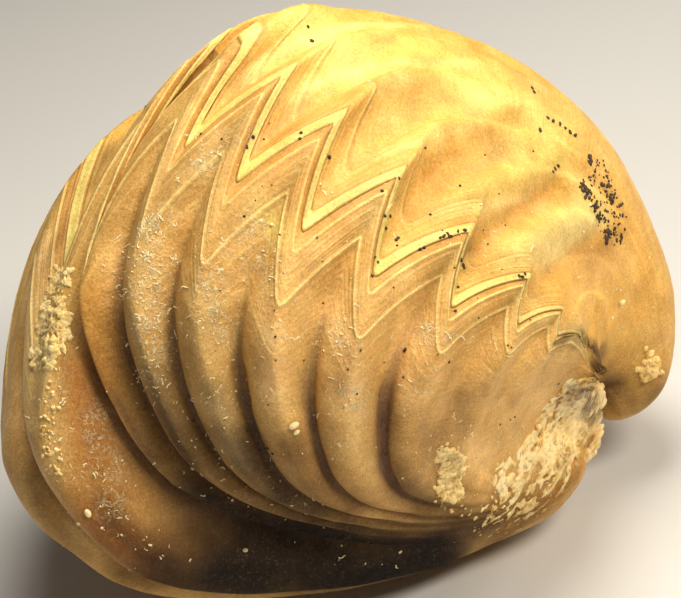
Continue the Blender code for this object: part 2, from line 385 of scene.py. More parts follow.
# Shape that the growth rule leaves out: height mm, half-width px, then the line
CARVED = (
    (-0.16, 5, (92, 488), (105, 510), (120, 535), (140, 555), (152, 563)),  # split in the fold rib
    (-0.10, 5, (113, 398), (127, 422), (140, 442), (156, 464)),
    (0.10, 9, (133, 421), (157, 455), (182, 488)),
    (-0.14, 9, (386, 392), (388, 418), (389, 436)),
    (-0.12, 9, (390, 458), (394, 482)),
    (-0.10, 8, (458, 398), (461, 430)),
    (-0.09, 6, (507, 400), (511, 415)),
    (-0.16, 10, (300, 382), (301, 404)),
    (-0.10, 8, (242, 372), (246, 400)),
    (0.22, 30, (22, 470), (30, 500), (46, 527)),
    (0.34, 26, (246, 44), (268, 30), (296, 22), (320, 22)),
    
    (-0.10, 16, (375, 42), (392, 36)),
    (-0.12, 16, (405, 108), (430, 90), (448, 80)),
    (-0.12, 16, (482, 148), (500, 135), (520, 122)),
    (-0.13, 12, (405, 207), (426, 180), (455, 150)),
    (-0.17, 12, (476, 248), (512, 216), (556, 186)),
    (-0.17, 12, (549, 279), (572, 256), (602, 232)),
    (0.16, 15, (512, 250), (548, 230), (592, 206)),
    (0.12, 14, (440, 206), (490, 180), (556, 158)),
    (0.10, 12, (366, 158), (410, 132), (470, 112), (520, 106)),
    (0.08, 12, (352, 104), (390, 88), (450, 74)),
    (0.05, 5, (245, 75), (272, 56), (300, 43), (340, 27), (400, 23), (470, 36), (520, 56)),
    (0.05, 5, (300, 100), (350, 76), (400, 66), (450, 61), (500, 66), (550, 91), (600, 145)),
    (0.05, 4, (412, 160), (440, 152), (462, 146)),
    (0.10, 8, (602, 300), (606, 330), (604, 350)),
    (-0.12, 6, (598, 310), (592, 330), (586, 342)),
    (-0.20, 5, (556, 346), (568, 337), (579, 334), (588, 345), (599, 355)),  # open crack at the hinge
    (-0.30, 7, (597, 352), (600, 362), (601, 372)),
    (-0.10, 5, (548, 356), (560, 350), (572, 350)),
)


def detail(g):
    """Height in mm of what the growth rule leaves out, on the outer grid."""
    at, deg, p, side = g["at"], g["deg"], g["p"], g["valve"].side
    h = np.zeros(at.shape)
    alive = ease(0.02, 0.10, at)
    worn = 0.65 + 0.35 * lump_noise(p, 1.3, 5)
    for t0, height, width in GROWTH_LINES[side]:
        h += height * bell((deg - t0) * g["per_deg"], width) * alive * (worn if abs(height) < 0.03 else 0.85 + 0.15 * worn)
    if side < 0:  # the raised rim along the seam
        h += 0.035 * ease(0.1, 0.6, deg) * (1 - ease(2.9, 3.5, deg)) * alive
    else:  # narrow rib grooves
        g["groove"] = bell((wave(at) + 1) / 2 * 1.25, 0.20) * ease(14, 34, deg) * ease(0.375, 0.46, at) * (1 - ease(44, 70, deg))
        h -= 0.12 * g["groove"]
    h -= 0.028 * bell(deg * g["per_deg"], 0.04) * alive  # the seam itself
    for height, width, *marks in CARVED:
        h += height * closeness(g["w"], stroke(*marks), width * PX)
    h += 0.06 * fractal(p, 3.0, 11, 3) * ease(2, 20, deg)
    h += 0.016 * fractal(p, 0.55, 23, 3) * ease(1, 14, deg)
    return h


def finish_grid(g):
    g["p"] = g["p"] + g["n"] * detail(g)[..., None]
    g["w"] = to_world(g["p"])
    g["n"] = normals_of(g["p"], g["valve"].side)


COLOURS = {  # linear
    "honey": (0.68, 0.42, 0.115), "tan": (0.66, 0.41, 0.15), "lemon": (0.72, 0.62, 0.19), "pale": (0.92, 0.78, 0.38),
    "peach": (0.90, 0.58, 0.24), "sand": (0.82, 0.60, 0.30), "amber": (0.58, 0.29, 0.055), "rust": (0.40, 0.165, 0.035),
    # the near-black below serves the mineral specks and the painted shade on the underside and in the grooves
    "olive": (0.36, 0.27, 0.09), "umber": (0.15, 0.083, 0.032), "shade_and_speck_black": (0.034, 0.020, 0.009), "plum": (0.115, 0.055, 0.045),
    "brown": (0.30, 0.17, 0.06), "grey": (0.26, 0.22, 0.14), "glow": (0.97, 0.56, 0.12), "blush": (1.0, 0.66, 0.33),
}

# Stains and bleached places, and painted shade and painted highlights where marked: colour, half-width px, amount, then
# the line
PAINTED = (
    ("lemon", 34, 0.80, (300, 30), (350, 70), (420, 60), (500, 100)),
    ("lemon", 24, 0.70, (290, 30), (400, 40), (480, 70), (560, 140)),
    ("pale", 12, 0.30, (300, 30), (350, 66), (400, 78)),
    ("pale", 12, 0.35, (470, 95), (510, 100), (552, 128)),
    # Painted highlights: lemon and pale along the tops of the raised ridges of the pedicle valve.
    ("lemon", 16, 0.80, (514, 250), (548, 231), (592, 207)),
    ("pale", 12, 0.75, (526, 256), (552, 236), (588, 216)),
    ("lemon", 14, 0.60, (444, 205), (490, 182), (556, 160)),
    ("pale", 5, 0.75, (436, 214), (480, 207), (528, 199)),
    ("pale", 5, 0.60, (506, 268), (540, 262), (566, 254)),
    ("lemon", 10, 0.60, (366, 158), (410, 134), (470, 112)),
    ("pale", 4, 0.55, (366, 160), (400, 146), (470, 128)),
    ("pale", 5, 0.70, (290, 98), (330, 78), (400, 62), (470, 62)),
    ("pale", 4, 0.60, (250, 70), (300, 40), (360, 24), (430, 26)),
    ("lemon", 12, 0.60, (268, 212), (278, 236)),
    # Painted shade: amber along the hollows between these ridges.
    ("amber", 12, 0.75, (474, 250), (512, 216), (556, 188)),
    ("amber", 11, 0.90, (546, 284), (572, 257), (604, 230)),
    ("amber", 11, 0.65, (404, 208), (426, 180), (455, 150)),
    ("amber", 14, 0.70, (494, 304), (508, 282), (528, 262)),
    ("amber", 13, 0.80, (560, 306), (584, 284), (606, 262)),
    ("brown", 7, 0.45, (580, 262), (604, 244), (620, 232)),
    ("glow", 22, 0.65, (560, 304), (600, 284), (640, 268)),
    ("glow", 22, 0.60, (590, 330), (630, 312), (655, 292)),
    ("glow", 16, 0.45, (600, 200), (630, 232), (645, 262)),
    # Painted highlight along a ridge top.
    ("pale", 11, 0.85, (552, 252), (580, 232), (602, 218)),
    ("amber", 11, 0.50, (300, 182), (318, 150)),
    ("amber", 10, 0.40, (268, 132), (290, 100)),
    ("amber", 12, 0.40, (434, 190), (450, 170)),
    ("amber", 12, 0.40, (362, 160), (378, 135)),
    # Painted shade in the recess under the beak.
    ("brown", 26, 0.55, (650, 395), (625, 402), (608, 395)),
    # Painted shade: olive and amber in hollows of the pedicle valve.
    ("olive", 12, 0.45, (468, 104), (440, 92), (410, 112)),
    ("olive", 9, 0.55, (508, 138), (490, 162), (470, 178)),
    ("olive", 8, 0.50, (372, 44), (392, 36), (352, 58)),
    ("olive", 8, 0.40, (420, 60), (396, 80), (372, 104)),
    ("amber", 12, 0.50, (520, 110), (490, 128), (452, 150)),
    ("amber", 12, 0.45, (450, 50), (420, 76), (380, 100)),
    ("amber", 14, 0.40, (640, 252), (656, 300), (664, 330)),
    # Painted highlights: peach along the rib crests of the brachial valve.
    ("peach", 20, 0.80, (262, 292), (268, 350), (276, 392)),
    ("peach", 20, 0.80, (330, 322), (341, 360), (346, 402)),
    ("peach", 20, 0.80, (402, 322), (414, 350), (416, 384)),
    ("peach", 15, 0.50, (470, 342), (482, 372)),
    ("peach", 17, 0.60, (530, 352), (540, 396), (536, 420)),
    ("peach", 17, 0.85, (476, 440), (484, 462), (488, 480)),
    ("sand", 12, 0.60, (346, 400), (352, 440), (368, 470)),
    ("sand", 12, 0.50, (276, 370), (282, 410)),
    ("brown", 34, 0.40, (150, 148), (170, 172), (140, 205)),
    ("brown", 22, 0.30, (232, 98), (262, 158), (282, 122)),
    ("peach", 12, 0.60, (580, 300), (604, 272), (630, 262)),
    ("sand", 17, 0.60, (205, 300), (206, 352)),
    ("sand", 14, 0.35, (150, 300), (152, 340)),
    # Soot, umber, brown and plum strokes in the rib grooves, over the lower ribs and on the underside, here and below,
    # are painted shade.
    ("grey", 16, 0.60, (158, 378), (168, 420), (190, 458)),
    ("grey", 14, 0.50, (216, 390), (226, 430), (244, 466)),
    ("brown", 13, 0.55, (292, 440), (306, 466), (330, 492)),
    ("umber", 15, 0.60, (180, 438), (196, 462), (226, 492)),
    ("shade_and_speck_black", 12, 0.75, (246, 436), (258, 468), (282, 500)),
    ("shade_and_speck_black", 20, 1.10, (196, 480), (232, 508), (276, 526), (320, 536)),
    ("shade_and_speck_black", 12, 0.70, (176, 440), (190, 466), (214, 494)),
    ("umber", 13, 0.65, (290, 448), (304, 476), (330, 504), (366, 524)),
    ("umber", 13, 0.60, (146, 470), (168, 500), (200, 530)),
    ("umber", 14, 0.70, (386, 396), (388, 436), (396, 482)),
    ("brown", 12, 0.55, (424, 424), (430, 456)),
    ("umber", 13, 0.80, (394, 484), (420, 507), (462, 522)),
    ("brown", 12, 0.60, (458, 396), (462, 432)),
    ("shade_and_speck_black", 13, 0.60, (286, 486), (312, 508), (350, 526)),
    ("shade_and_speck_black", 42, 1.25, (262, 528), (330, 548), (392, 548), (430, 545)),
    ("shade_and_speck_black", 30, 1.25, (230, 572), (300, 582), (370, 580), (440, 564)),
    ("umber", 17, 0.75, (446, 532), (492, 518), (520, 508)),
    ("amber", 30, 0.60, (100, 300), (94, 380), (96, 440)),
    ("rust", 30, 0.85, (84, 380), (92, 440), (98, 510)),
    ("brown", 14, 0.35, (124, 320), (124, 350), (128, 386)),
    ("umber", 14, 0.45, (118, 536), (140, 556), (164, 564)),
    ("amber", 10, 0.75, (142, 466), (156, 492)),
    ("amber", 22, 0.45, (228, 104), (268, 130), (300, 180)),
    ("amber", 24, 0.55, (424, 272), (456, 242), (440, 182)),
    ("amber", 20, 0.45, (362, 252), (330, 225), (300, 190)),
    ("amber", 14, 0.35, (502, 302), (482, 288)),
    ("brown", 20, 0.25, (152, 150), (172, 172), (180, 200)),
    ("umber", 14, 0.35, (156, 392), (168, 424), (190, 462)),
    ("grey", 14, 0.35, (216, 400), (226, 430), (240, 456)),
    ("umber", 12, 0.45, (158, 372), (164, 410), (182, 448)),
    ("blush", 10, 0.55, (334, 300), (342, 340), (346, 380)),
    ("sand", 10, 0.45, (40, 360), (40, 400), (46, 460)),
    ("amber", 12, 0.35, (300, 100), (282, 118), (262, 150)),
    # Painted shade on the underside and the lower ribs.
    ("shade_and_speck_black", 26, 0.90, (250, 530), (300, 542), (350, 548), (400, 545)),
    ("umber", 20, 0.60, (410, 530), (450, 534), (490, 524)),
    ("brown", 16, 0.60, (150, 556), (130, 548), (112, 532)),
    ("rust", 21, 0.75, (108, 528), (130, 548), (168, 562)),
    ("shade_and_speck_black", 19, 1.0, (130, 578), (170, 582), (210, 584), (260, 586)),
    ("umber", 22, 0.80, (160, 540), (190, 556), (220, 560)),
    ("shade_and_speck_black", 16, 0.90, (196, 530), (230, 545), (262, 556)),
    # Painted shade in the recess under the beak.
    ("umber", 20, 0.55, (610, 400), (640, 404), (662, 392)),
    ("shade_and_speck_black", 7, 0.90, (604, 392), (612, 404), (618, 414)),
    ("umber", 11, 1.0, (600, 352), (604, 376), (608, 396)),
    ("umber", 12, 0.8, (610, 380), (618, 402), (624, 414)),
    ("umber", 14, 0.7, (500, 540), (540, 512), (576, 474)),
    ("umber", 10, 0.65, (100, 500), (118, 535), (150, 562), (178, 572)),
    ("umber", 15, 0.60, (38, 486), (48, 515), (66, 545)),
    ("plum", 6, 0.35, (30, 440), (32, 480), (42, 520)),
    ("plum", 6, 0.40, (78, 320), (66, 360), (62, 395)),
    ("blush", 14, 1.0, (22, 390), (20, 420), (24, 446)),
    ("blush", 18, 1.0, (44, 246), (34, 290), (28, 350)),
    ("blush", 12, 0.60, (118, 262), (121, 300)),
    ("blush", 15, 0.70, (536, 396), (540, 420), (534, 436)),
    # Painted highlights: blush along the rib crests of the brachial valve.
    ("blush", 16, 1.10, (266, 318), (270, 352), (276, 384)),
    ("blush", 16, 1.10, (334, 330), (341, 362), (346, 394)),
    ("blush", 16, 1.10, (404, 340), (415, 372), (417, 396)),
    ("blush", 13, 0.90, (474, 446), (481, 462), (486, 478)),
    # More painted shade over the lower ribs and the underside.
    ("umber", 28, 0.70, (160, 440), (190, 482), (236, 512), (290, 532)),
    ("shade_and_speck_black", 24, 0.80, (206, 500), (250, 524), (320, 545)),
    ("shade_and_speck_black", 16, 0.50, (252, 456), (270, 486), (300, 510)),
    ("rust", 22, 0.60, (96, 520), (122, 545), (150, 562)),
    ("shade_and_speck_black", 20, 0.80, (150, 566), (182, 574), (226, 578)),
    ("umber", 16, 0.60, (398, 470), (412, 492), (450, 508)),
    ("brown", 16, 0.70, (500, 500), (530, 496), (556, 482)),
    ("amber", 18, 0.70, (520, 506), (556, 488), (580, 456)),
    ("umber", 12, 0.70, (586, 392), (592, 404), (594, 420)),
    ("plum", 6, 0.60, (116, 400), (140, 440), (156, 464)),
    ("sand", 11, 0.70, (46, 360), (48, 420), (58, 470)),
    ("sand", 17, 0.80, (28, 290), (30, 340), (26, 390)),
    ("umber", 9, 0.70, (110, 150), (90, 185), (62, 228), (46, 268)),
    # Painted shade in the open crack at the hinge and in the recess under the beak.
    ("shade_and_speck_black", 6, 0.85, (556, 346), (568, 337), (579, 334), (588, 345), (599, 355), (601, 372)),
    ("umber", 12, 0.60, (596, 350), (604, 366)),
    ("brown", 10, 0.60, (586, 392), (600, 400), (612, 404)),
)

# Painted shade on the underside and on the lower ribs, darkening the colour there: half-width px, amount, then the line
PAINTED_SHADE = (
    (32, 1.0, (262, 530), (330, 548), (392, 548), (430, 545)), (28, 1.0, (230, 572), (300, 582), (370, 580), (440, 564)),
    (24, 0.80, (196, 484), (232, 508), (276, 526), (320, 536)), (14, 0.70, (246, 434), (258, 468), (284, 502), (330, 524)),
    (22, 0.75, (158, 562), (200, 575), (250, 585)), (15, 0.60, (112, 530), (135, 550), (165, 562)),
    (14, 0.45, (152, 400), (168, 430), (190, 462)), (15, 0.45, (206, 430), (222, 462), (246, 490)), (22, 0.45, (222, 442), (244, 474), (282, 506)),
    (16, 0.32, (500, 532), (540, 508), (568, 482)),
    (16, 0.45, (292, 450), (312, 480), (352, 512)), (16, 0.40, (404, 490), (432, 510), (480, 520)),
    (22, 0.55, (440, 540), (490, 526), (522, 510)), (12, 0.50, (90, 500), (110, 530)), (10, 0.40, (596, 392), (606, 402)),
    (12, 0.35, (332, 440), (350, 480), (372, 506)), (12, 0.30, (120, 330), (132, 380), (146, 430)),
)

# Where pale dust lies: half-width px, amount, then the line
DUSTED = (
    (26, 0.9, (150, 240), (152, 300), (158, 370)), (26, 0.8, (205, 260), (208, 330), (218, 400)),
    (22, 0.6, (262, 250), (270, 320), (280, 400)), (20, 0.5, (335, 330), (345, 400), (350, 450)),
    (20, 0.5, (405, 330), (412, 400)), (24, 0.5, (80, 460), (100, 500), (140, 530)), (22, 0.8, (500, 330), (440, 330), (380, 300)),
    (24, 0.8, (520, 420), (540, 460), (500, 500)), (22, 0.7, (440, 440), (450, 500)), (24, 0.6, (40, 330), (50, 420)),
    (26, 0.4, (380, 170), (470, 215), (530, 250)),
)
NETWORKS = (
    (16, 1.0, (150, 225), (146, 300), (148, 345)), (14, 0.9, (147, 340), (150, 362)), (15, 0.9, (212, 290), (220, 320)),
    (12, 0.8, (205, 160), (222, 140), (246, 128)), (16, 0.8, (250, 230), (262, 270)), (14, 0.8, (330, 330), (345, 345)),
    (14, 0.7, (350, 392), (362, 402)), (12, 0.7, (430, 330), (450, 338)), (14, 0.6, (95, 420), (110, 500)),
)


def tint_of(g):
    """Base colour (linear) on the outer grid."""
    at, deg, w, side = g["at"], g["deg"], g["w"], g["valve"].side
    c = np.broadcast_to(np.array(COLOURS["tan" if side > 0 else "honey"]), w.shape).copy()

    def lay(colour, amount):
        k = np.clip(amount, 0, 1)[..., None]
        c[...] = c * (1 - k) + np.array(COLOURS[colour]) * k

    lay("amber", 0.34 * ease(0.0, 0.6, fractal(w, 2.2, 31, 3)))
    lay("sand", 0.30 * ease(0.0, 0.6, fractal(w, 1.6, 47, 3)))
    lay("brown" if side > 0 else "amber", 0.30 * ease(0.05, 0.6, fractal(w, 0.8, 53, 4)))
    uneven = 0.8 + 0.35 * fractal(w, 1.0, 59, 2)
    for colour, width, amount, *marks in PAINTED:
        lay(colour, amount * uneven * closeness(w, stroke(*marks), width * PX * 1.15))
    alive = ease(0.10, 0.24, at)
    patchy = 0.72 + 0.5 * fractal(w, 0.9, 71, 3)
    if side > 0:
        # painted shade on the brachial valve: broad brown either side of each rib groove, and plum in the narrow
        # grooves, where a dark fill also lies
        lay("brown", 0.60 * bell((wave(at) + 1) / 2 * 1.25, 0.45) * ease(20, 44, deg) * ease(0.27, 0.39, at) * (1 - 0.8 * ease(56, 80, deg)))
        lay("plum", 0.95 * g["groove"] * (0.6 + 0.4 * patchy))
        lay("olive", 0.55 * ease(0.35, 1.0, -wave(at)) * ease(3.2, 4.2, deg) * (1 - ease(9, 15, deg)) * alive)
        lay("amber", 0.45 * ease(0.1, 0.5, deg) * (1 - ease(2.7, 3.2, deg)) * alive * patchy)
    else:
        lay("lemon", 0.78 * ease(0.1, 0.5, deg) * (1 - ease(2.9, 3.4, deg)) * alive)
        lay("pale", 0.55 * ease(0.1, 0.5, deg) * (1 - ease(2.9, 3.4, deg)) * alive * patchy)
    for t0, height, width in GROWTH_LINES[side]:
        line = bell((deg - t0) * g["per_deg"], width * 1.15) * alive
        if height > 0:
            lay("pale", min(0.8, (22 if side > 0 else 12) * height) * line * patchy)
        else:
            lay("umber", min(0.45, 16 * -height) * line * patchy)
    lay("brown", 0.80 * bell(deg * g["per_deg"], 0.030) * ease(0.04, 0.12, at))
    cloudy = 0.85 + 0.3 * fractal(w, 0.8, 61, 3)
    # painted shade over the underside and the lower ribs
    for width, amount, *marks in PAINTED_SHADE:
        k = np.clip(amount * cloudy * closeness(w, stroke(*marks), width * PX * 1.15), 0, 1)[..., None]
        c *= 1 - k * np.array((0.78, 0.84, 0.91))
    return c * np.array((1.03, 0.945, 0.700))


def mask_of(g):
    """x: dust, y: painted shade from the darkest strokes and the shade list, made matt in the shader, z: white dusty
    networks.
    """
    w = g["w"]
    m = np.zeros(w.shape)
    for colour, width, amount, *marks in PAINTED:
        if colour in ("shade_and_speck_black", "umber"):
            m[..., 1] = np.maximum(m[..., 1], np.minimum(amount, 1.0) * closeness(w, stroke(*marks), width * PX * 1.15))
    for width, amount, *marks in PAINTED_SHADE:
        m[..., 1] = np.maximum(m[..., 1], amount * closeness(w, stroke(*marks), width * PX * 1.15))
    m[..., 0] = 0.12 + 0.12 * fractal(w, 2.0, 83, 2)
    broken = 0.45 + 0.9 * fractal(w, 0.9, 89, 3)
    for width, amount, *marks in DUSTED:
        m[..., 0] = np.maximum(m[..., 0], amount * broken * closeness(w, stroke(*marks), width * PX * 1.3))
    ragged = 0.5 + fractal(w, 0.5, 97, 2)
    for width, amount, *marks in NETWORKS:
        m[..., 2] = np.maximum(m[..., 2], amount * ragged * closeness(w, stroke(*marks), width * PX))
    m[..., 0] *= 1 - 0.7 * m[..., 1]
    return m


def closed_mesh(g, name):
    """Closes the outer grid with a rounded umbo tip and a thin-lipped inner face."""
    valve, p = g["valve"], g["p"]
    nu, nv = p.shape[:2]
    rows = [p[:, j] for j in range(nv)]
    for k in (0.35, 0.62, 0.82, 0.95):
        rows.append(mirrored(valve.point(AT_ALL, valve.turn + 12 * k, math.sqrt(1 - k * k))))
    centre = np.zeros((nu, 3))
    inner = mirrored(valve.point(AT_ALL, 0.0, 0.55, 0.2))
    lip = mirrored(valve.point(AT_ALL, 0.0, 0.97, 1.0))
    shift = np.array([0, 0, valve.side * 0.03])
    rows += [centre + shift, inner + shift, lip + shift * 0.7]
    grid = np.stack(rows, 1)
    m = grid.shape[1]
    verts = to_world(grid.reshape(-1, 3)) * MM
    i, j = np.meshgrid(np.arange(nu - 1), np.arange(m), indexing="ij")
    a, b = i * m + j, (i + 1) * m + j
    c, d = (i + 1) * m + (j + 1) % m, i * m + (j + 1) % m
    quads = np.stack([a, b, c, d], -1).reshape(-1, 4)
    if valve.side > 0:
        quads = quads[:, ::-1]
    mesh = bpy.data.meshes.new(name)
    mesh.vertices.add(len(verts))
    mesh.vertices.foreach_set("co", verts.astype(np.float32).ravel())
    mesh.loops.add(quads.size)
    mesh.loops.foreach_set("vertex_index", quads.astype(np.int32).ravel())
    mesh.polygons.add(len(quads))
    mesh.polygons.foreach_set("loop_start", np.arange(0, quads.size, 4, dtype=np.int32))
    mesh.update(calc_edges=True)

    def padded(x):
        last = np.repeat(x[:, -1:], m - nv - 3, axis=1)
        inside = np.repeat(x[:, :1], 3, axis=1)
        return np.concatenate([x, last, inside], 1).reshape(nu * m, -1)

    grow = np.stack([g["deg"] * valve.side, g["per_deg"], g["at"]], -1)
    mesh.attributes.new("grow", "FLOAT_VECTOR", "POINT").data.foreach_set("vector", padded(grow).astype(np.float32).ravel())
    mesh.attributes.new("mask", "FLOAT_VECTOR", "POINT").data.foreach_set("vector", padded(g["mask"]).astype(np.float32).ravel())
    colour = np.concatenate([padded(g["tint"]), np.ones((nu * m, 1))], 1)
    mesh.attributes.new("tint", "FLOAT_COLOR", "POINT").data.foreach_set("color", colour.astype(np.float32).ravel())
    bm = bmesh.new()
    bm.from_mesh(mesh)
    bmesh.ops.remove_doubles(bm, verts=bm.verts, dist=2e-6)
    bmesh.ops.recalc_face_normals(bm, faces=bm.faces)
    bm.to_mesh(mesh)
    bm.free()
    mesh.shade_smooth()
    return mesh


# ---- materials -------------------------------------------------------------
class Nodes:
    """A short way to write a node tree."""

    def __init__(self, name):
        self.material = bpy.data.materials.new(name)
        self.material.use_nodes = True
        self.tree = self.material.node_tree
        self.shader = self.tree.nodes["Principled BSDF"]

    def put(self, value, socket):
        if isinstance(value, bpy.types.NodeSocket):
            self.tree.links.new(value, socket)
        elif isinstance(value, (tuple, list)) and len(value) == 3 and socket.type == "RGBA":
            socket.default_value = (*value, 1.0)
        else:
            socket.default_value = value

    def node(self, kind, out=0, settings=None, **inputs):
        n = self.tree.nodes.new("ShaderNode" + kind)
        for key, value in (settings or {}).items():
            setattr(n, key, value)
        for key, value in inputs.items():
            self.put(value, n.inputs[key.replace("_", " ")] if key.replace("_", " ") in n.inputs else n.inputs[int(key[1:])])
        return n.outputs[out]

    def math(self, op, a, b=0.0, c=0.0, clamp=False):
        n = self.tree.nodes.new("ShaderNodeMath")
        n.operation, n.use_clamp = op, clamp
        for k, v in enumerate((a, b, c)):
            self.put(v, n.inputs[k])
        return n.outputs[0]

    def ramp(self, x, low, high, to_low=0.0, to_high=1.0, smooth=True):
        n = self.tree.nodes.new("ShaderNodeMapRange")
        n.interpolation_type = "SMOOTHSTEP" if smooth else "LINEAR"
        for k, v in enumerate((x, low, high, to_low, to_high)):
            self.put(v, n.inputs[k])
        return n.outputs[0]

    def mix(self, a, b, factor, blend="MIX"):
        n = self.tree.nodes.new("ShaderNodeMix")
        n.data_type, n.blend_type = "RGBA", blend
        self.put(factor, n.inputs[0])
        self.put(a, n.inputs[6])
        self.put(b, n.inputs[7])
        return n.outputs[2]

    def noise(self, vector, scale, detail=3.0, rough=0.5, distort=0.0):
        n = self.tree.nodes.new("ShaderNodeTexNoise")
        n.inputs["Scale"].default_value = scale
        n.inputs["Detail"].default_value = detail
        n.inputs["Roughness"].default_value = rough
        n.inputs["Distortion"].default_value = distort
        self.put(vector, n.inputs["Vector"])
        return n.outputs[0]

    def bump(self, height, strength, distance, normal=None):
        n = self.tree.nodes.new("ShaderNodeBump")
        n.inputs["Strength"].default_value = strength
        n.inputs["Distance"].default_value = distance
        self.put(height, n.inputs["Height"])
        if normal is not None:
            self.put(normal, n.inputs["Normal"])
        return n.outputs[0]


def shell_material(name, roughness):
    m = Nodes(name)
    where = m.node("TexCoord", out=3)
    tint = m.node("Attribute", settings={"attribute_name": "tint"})
    mask = m.node("Attribute", out=1, settings={"attribute_name": "mask"})
    parts = m.tree.nodes.new("ShaderNodeSeparateXYZ")
    m.put(mask, parts.inputs[0])
    dust, network = parts.outputs[0], parts.outputs[2]
    cloud = m.ramp(m.noise(where, 900.0, 5.0, 0.6), 0.30, 0.72, 1.10, 0.84)
    grow = m.tree.nodes.new("ShaderNodeSeparateXYZ")
    m.put(m.node("Attribute", out=1, settings={"attribute_name": "grow"}), grow.inputs[0])
    along = m.tree.nodes.new("ShaderNodeCombineXYZ")
    m.put(m.math("MULTIPLY", grow.outputs[0], 1.3), along.inputs[0])
    m.put(m.math("MULTIPLY", grow.outputs[2], 14.0), along.inputs[1])
    stria = m.noise(along.outputs[0], 1.0, 4.0, 0.62)
    shade = m.math("MULTIPLY", cloud, m.ramp(stria, 0.30, 0.70, 0.95, 1.05, smooth=False))
    tone = m.tree.nodes.new("ShaderNodeCombineXYZ")
    m.put(shade, tone.inputs[0])
    m.put(m.math("POWER", shade, 1.25), tone.inputs[1])
    m.put(m.math("POWER", shade, 1.9), tone.inputs[2])
    colour = m.mix(tint, tone.outputs[0], 1.0, "MULTIPLY")
    sand = m.ramp(m.noise(where, 11000.0, 3.0, 0.75), 0.30, 0.70, 0.66, 1.34, smooth=False)
    pale = m.tree.nodes.new("ShaderNodeCombineXYZ")
    for k in range(3):
        m.put(sand, pale.inputs[k])
    colour = m.mix(colour, pale.outputs[0], 0.80, "MULTIPLY")
    grain = m.noise(where, 7000.0, 3.0, 0.7)
    fleck = m.math("MULTIPLY", m.ramp(grain, 0.55, 0.66), dust)
    fine = m.noise(where, 16000.0, 2.0, 0.6)
    fleck = m.math("MAXIMUM", fleck, m.math("MULTIPLY", m.ramp(fine, 0.60, 0.68), m.math("MULTIPLY", dust, 0.8)))
    colour = m.mix(colour, (0.90, 0.74, 0.46), m.math("MULTIPLY", fleck, 0.72))
    crackle = m.noise(where, 2600.0, 4.0, 0.65, 0.6)
    vein = m.math("MULTIPLY", m.ramp(m.math("ABSOLUTE", m.math("SUBTRACT", crackle, 0.5)), 0.050, 0.012), network)
    vein = m.math("MULTIPLY", vein, m.ramp(grain, 0.36, 0.50, 0.0, 1.4), clamp=True)
    colour = m.mix(colour, (1.0, 0.86, 0.52), vein)
    m.put(colour, m.shader.inputs["Base Color"])
    rough = m.ramp(m.noise(where, 2500.0, 3.0), 0.3, 0.7, roughness - 0.07, roughness + 0.10)
    rough = m.math("ADD", rough, m.math("MULTIPLY", fleck, 0.25))
    # mask y, the painted shade, makes the shell rougher there and, below, lowers its subsurface weight
    m.put(m.math("ADD", rough, m.math("MULTIPLY", parts.outputs[1], 0.38), clamp=True), m.shader.inputs["Roughness"])
    height = m.math("ADD", m.math("MULTIPLY", m.noise(where, 4200.0, 5.0, 0.62), 0.8), m.math("MULTIPLY", fleck, 0.35))
    height = m.math("ADD", height, m.math("MULTIPLY", stria, 0.8))
    m.put(m.bump(m.math("ADD", height, vein), 0.85, 0.00008), m.shader.inputs["Normal"])
    m.shader.inputs["Specular IOR Level"].default_value = 0.32
    m.put(m.ramp(parts.outputs[1], 0.1, 0.8, 0.18, 0.02), m.shader.inputs["Subsurface Weight"])
    m.shader.inputs["Subsurface Radius"].default_value = (1.0, 0.45, 0.15)
    m.shader.inputs["Subsurface Scale"].default_value = 0.0006
    m.shader.inputs["IOR"].default_value = 1.5
    return m.material


MATERIALS = {1: shell_material("brachial_shell", 0.46), -1: shell_material("pedicle_shell", 0.40)}

grids = [base_grid(BRACHIAL), base_grid(PEDICLE)]
TREE = surface_tree(grids)
for g in grids:
    finish_grid(g)
TREE = surface_tree(grids)
objects = {}
for g in grids:
    valve = g["valve"]
    g["tint"], g["mask"] = tint_of(g), mask_of(g)
    mesh = closed_mesh(g, "fossil_" + valve.name)
    obj = bpy.data.objects.new("fossil_" + valve.name, mesh)
    bpy.context.scene.collection.objects.link(obj)
    mesh.materials.append(MATERIALS[valve.side])
    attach(obj, "root")
    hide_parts(valve.name)
    objects[valve.name] = obj
    print(valve.name, len(mesh.polygons), "faces")

# ---- crust, pellets and specks --------------------------------------------
RNG = np.random.default_rng(31)


def inside(polygon, x, y):
    hit = False
    for (x0, y0), (x1, y1) in zip(polygon, polygon[1:] + polygon[:1]):
        if (y0 > y) != (y1 > y) and x < (x1 - x0) * (y - y0) / (y1 - y0) + x0:
            hit = not hit
    return hit


def scattered(polygon, count):
    xs, ys = [p[0] for p in polygon], [p[1] for p in polygon]
    out = []
    while len(out) < count:
        x, y = RNG.uniform(min(xs), max(xs)), RNG.uniform(min(ys), max(ys))
        if inside(polygon, x, y):
            out.append((x, y))
    return out


def lump_at(px, py, radius, height, lift=0.0, shift=(0.0, 0.0)):
    """A lump lying on the shell: place, outward normal, radii in mm. shift moves it in the picture's plane, in px."""
    found = on_shell(px, py)
    if not found:
        return []
    at = found[0] + found[1] * lift + (CAM_AXES[0] * shift[0] - CAM_AXES[1] * shift[1]) * PX
    return [(at, found[1], radius, height)]


